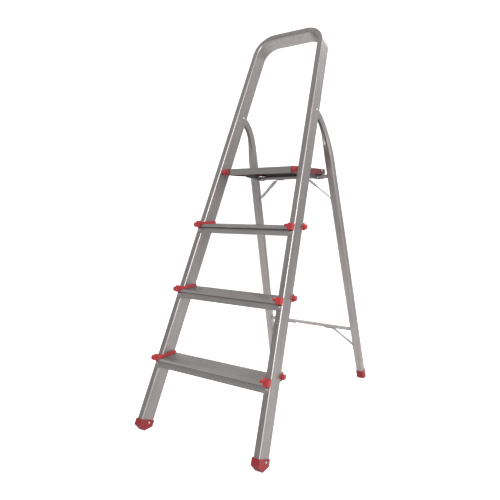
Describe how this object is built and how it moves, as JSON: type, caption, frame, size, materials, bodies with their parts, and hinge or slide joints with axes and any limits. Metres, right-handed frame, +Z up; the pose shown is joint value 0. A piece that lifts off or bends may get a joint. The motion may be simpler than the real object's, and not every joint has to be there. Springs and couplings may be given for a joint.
{
  "type": "platform step ladder",
  "caption": "Folding aluminium step ladder: bowed front frame, ribbed treads, a hinged standing platform and a tubular rear frame linked to it.",
  "frame": {"origin": "on the floor, at the middle of the box around the open ladder", "axes": "+X to the right of a user who faces the treads, +Y from the front frame to the rear frame, +Z up; ladder open"},
  "size_m": [0.461, 0.851, 1.331],
  "materials": {
    "aluminium": "satin, drawn along the length",
    "ribbed_aluminium": "satin, ribbed extrusion",
    "red_plastic": "moulded, lightly grained",
    "zinc_steel": "zinc plated strip and plate",
    "rivet": "bright domed fasteners"
  },
  "bodies": {
    "front_frame": {"front_frame": "aluminium", "front_foot_left": "red_plastic", "front_foot_rivet_left": "rivet", "top_pivot_rivet_left": "rivet", "front_foot_right": "red_plastic", "front_foot_rivet_right": "rivet", "top_pivot_rivet_right": "rivet", "tread_1": "ribbed_aluminium", "tread_1_cap_left": "red_plastic", "tread_1_rivet_left": "rivet", "tread_1_cap_right": "red_plastic", "tread_1_rivet_right": "rivet", "tread_2": "ribbed_aluminium", "tread_2_cap_left": "red_plastic", "tread_2_rivet_left": "rivet", "tread_2_cap_right": "red_plastic", "tread_2_rivet_right": "rivet", "tread_3": "ribbed_aluminium", "tread_3_cap_left": "red_plastic", "tread_3_rivet_left": "rivet", "tread_3_cap_right": "red_plastic", "tread_3_rivet_right": "rivet"},
    "platform": {"platform_deck": "ribbed_aluminium", "platform_side_left": "red_plastic", "platform_pivot_pin_left": "zinc_steel", "link_pin_left": "rivet", "platform_catch_left": "zinc_steel", "platform_catch_rivet_left": "rivet", "platform_side_right": "red_plastic", "platform_pivot_pin_right": "zinc_steel", "link_pin_right": "rivet", "platform_catch_right": "zinc_steel", "platform_catch_rivet_right": "rivet"},
    "link_left": {"link_left": "zinc_steel"},
    "link_right": {"link_right": "zinc_steel"},
    "rear_frame": {"rear_leg_left": "aluminium", "rear_foot_left": "red_plastic", "link_bracket_left": "zinc_steel", "link_bolt_left": "rivet", "link_bracket_bolt_left": "rivet", "rear_leg_right": "aluminium", "rear_foot_right": "red_plastic", "link_bracket_right": "zinc_steel", "link_bolt_right": "rivet", "link_bracket_bolt_right": "rivet", "lower_crossbar": "aluminium", "lower_brace_left": "zinc_steel", "lower_brace_bar_rivet_left": "rivet", "lower_brace_leg_rivet_left": "rivet", "lower_brace_right": "zinc_steel", "lower_brace_bar_rivet_right": "rivet", "lower_brace_leg_rivet_right": "rivet", "upper_crossbar": "aluminium", "upper_brace_left": "zinc_steel", "upper_brace_bar_rivet_left": "rivet", "upper_brace_leg_rivet_left": "rivet", "upper_brace_right": "zinc_steel", "upper_brace_bar_rivet_right": "rivet", "upper_brace_leg_rivet_right": "rivet"}
  },
  "joints": [
    {"name": "rear_frame_fold", "type": "hinge", "parent": "front_frame", "child": "rear_frame", "pos_m": [0, 0.05901, 1.01832], "axis": [-1, 0, 0], "range_deg": [0, 40]},
    {"name": "platform_fold", "type": "hinge", "parent": "front_frame", "child": "platform", "pos_m": [0, -0.04924, 0.818], "axis": [1, 0, 0], "range_deg": [0, 66]},
    {"name": "link_left_fold", "type": "hinge", "parent": "rear_frame", "child": "link_left", "pos_m": [-0.1165, 0.15172, 0.802], "axis": [-1, 0, 0], "range_deg": [0, 46.42]},
    {"name": "link_right_fold", "type": "hinge", "parent": "rear_frame", "child": "link_right", "pos_m": [0.1165, 0.15172, 0.802], "axis": [-1, 0, 0], "range_deg": [0, 46.42]}
  ],
  "couplings": [
    {"joint": "platform_fold", "follows": "rear_frame_fold", "ratio": 1.65},
    {"joint": "link_left_fold", "follows": "rear_frame_fold", "ratio": 1.1606},
    {"joint": "link_right_fold", "follows": "rear_frame_fold", "ratio": 1.1606}
  ]
}
